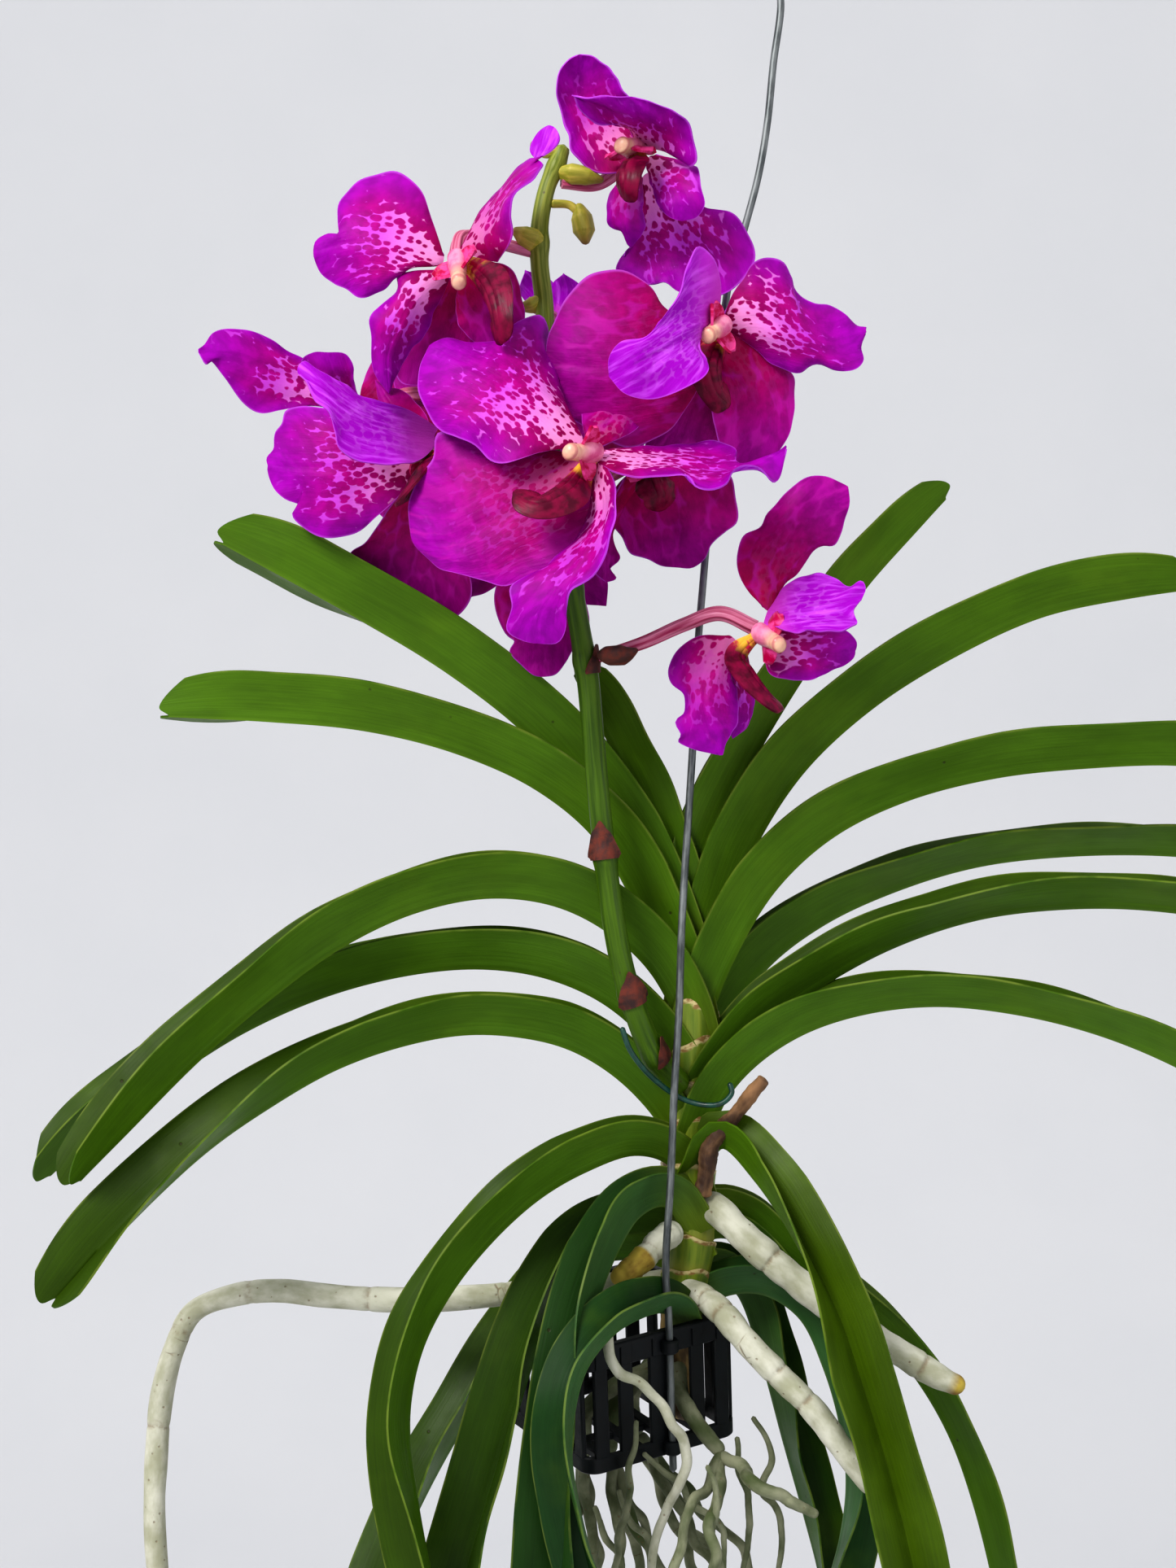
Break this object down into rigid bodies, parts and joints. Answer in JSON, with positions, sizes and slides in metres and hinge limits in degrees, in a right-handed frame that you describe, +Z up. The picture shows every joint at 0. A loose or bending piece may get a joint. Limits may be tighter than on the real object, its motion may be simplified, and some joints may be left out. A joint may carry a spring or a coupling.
{
  "type": "potted vanda orchid",
  "caption": "Vanda orchid with strap leaves, bare hanging roots and a spike of magenta blooms, in a slatted basket hung on a hooked wire.",
  "frame": {"origin": "the point at which the wire hook hangs, at the inside of the top of its bend", "axes": "+Z up, +X to the right and +Y away from a viewer who faces the flowers"},
  "size_m": [0.4718, 0.1482, 0.7264],
  "materials": {
    "basket_plastic": "moulded, slightly satin black",
    "wire_steel": "dull galvanised",
    "clip_plastic": "plastic coated wire",
    "stem_bark": "green stem with dry sheaths",
    "dry_spike": "dry and brown",
    "spike_green": "smooth and fleshy",
    "leaf_green": "satin, with pale margins",
    "petal_violet": "velvety, with a fine net of paler veins",
    "root_velamen": "dry, silvery white",
    "root_green": "olive, in part silvery"
  },
  "bodies": {
    "root": {"basket": "basket_plastic", "hanger_wire": "wire_steel", "spike_clip": "clip_plastic", "stem": "stem_bark", "dead_spike": "dry_spike", "flower_spike": "spike_green", "leaf_left_1": "leaf_green", "leaf_left_2": "leaf_green", "leaf_left_3": "leaf_green", "leaf_left_4": "leaf_green", "leaf_left_5": "leaf_green", "leaf_left_6": "leaf_green", "leaf_left_7": "leaf_green", "leaf_left_8": "leaf_green", "leaf_left_9": "leaf_green", "leaf_left_10": "leaf_green", "leaf_left_11": "leaf_green", "leaf_right_1": "leaf_green", "leaf_right_2": "leaf_green", "leaf_right_3": "leaf_green", "leaf_right_4": "leaf_green", "leaf_right_5": "leaf_green", "leaf_right_6": "leaf_green", "leaf_right_7": "leaf_green", "leaf_right_8": "leaf_green", "leaf_right_9": "leaf_green", "leaf_right_10": "leaf_green", "leaf_right_11": "leaf_green", "root_left": "root_velamen", "root_right": "root_velamen", "root_front": "root_velamen", "root_stub": "root_velamen", "root_thin_front": "root_velamen", "roots_hanging_1": "root_green", "roots_hanging_2": "root_green", "roots_hanging_3": "root_green", "roots_hanging_4": "root_green", "bloom_center": "petal_violet", "bloom_upper_left": "petal_violet", "bloom_upper_right": "petal_violet", "bloom_lower_right": "petal_violet", "bloom_crown": "petal_violet", "bloom_left": "petal_violet", "bloom_behind_right": "petal_violet", "bloom_behind_low": "petal_violet", "bloom_behind_left": "petal_violet", "bloom_behind_top": "petal_violet"}
  },
  "joints": []
}
